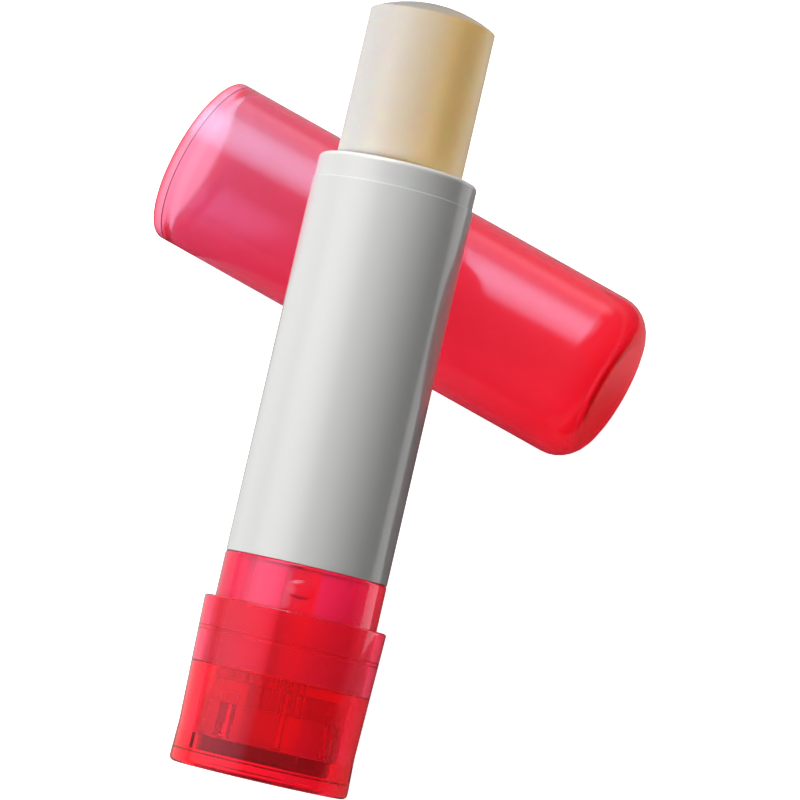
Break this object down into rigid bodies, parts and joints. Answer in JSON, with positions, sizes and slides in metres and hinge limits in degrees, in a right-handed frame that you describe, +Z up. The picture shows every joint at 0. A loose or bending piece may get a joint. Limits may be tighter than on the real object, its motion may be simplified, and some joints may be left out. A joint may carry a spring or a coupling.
{
  "type": "lip balm stick",
  "caption": "Twist-up lip balm stick: a cream balm in a white labelled barrel on a see-through red knob, leaning on its red cap.",
  "frame": {"origin": "on the table, in the middle of the plan box round the leaning stick and its cap", "axes": "+X along the lying cap towards its closed end, +Y across it the way the balm points in plan, +Z up from the table"},
  "size_m": [0.053, 0.0786, 0.0405],
  "materials": {
    "cap_red": "translucent red moulded plastic, polished",
    "knob_red": "translucent red moulded plastic, polished",
    "collar_red": "translucent red moulded plastic, polished",
    "spindle_red": "translucent red moulded plastic",
    "barrel_white": "white moulded plastic, gloss",
    "label_film": "white plastic film, satin gloss, bare of print",
    "carrier_white": "natural white moulded plastic",
    "balm_wax": "cream wax, smooth and slightly see-through"
  },
  "bodies": {
    "stick": {"barrel": "barrel_white", "wrap_label": "label_film", "collar_body": "collar_red"},
    "knob": {"base_knob": "knob_red", "screw_spindle": "spindle_red"},
    "balm_carrier": {"carrier": "carrier_white", "balm": "balm_wax"},
    "loose_cap": {"cap": "cap_red"}
  },
  "joints": [
    {"name": "knob_turn", "type": "hinge", "parent": "stick", "child": "knob", "pos_m": [0.01777, -0.03546, 0.00866], "axis": [-0.2943, 0.9003, 0.3206], "range_deg": [-2281, 1441]},
    {"name": "balm_rise", "type": "slide", "parent": "stick", "child": "balm_carrier", "axis": [-0.2943, 0.9003, 0.3206], "range_m": [-0.019, 0.012]},
    {"name": "cap_slide", "type": "slide", "parent": "stick", "child": "loose_cap", "axis": [-1, 0, 0], "range_m": [0, 0.05]}
  ],
  "couplings": [
    {"joint": "knob_turn", "follows": "balm_rise", "rad_per_m": 2094.4}
  ]
}
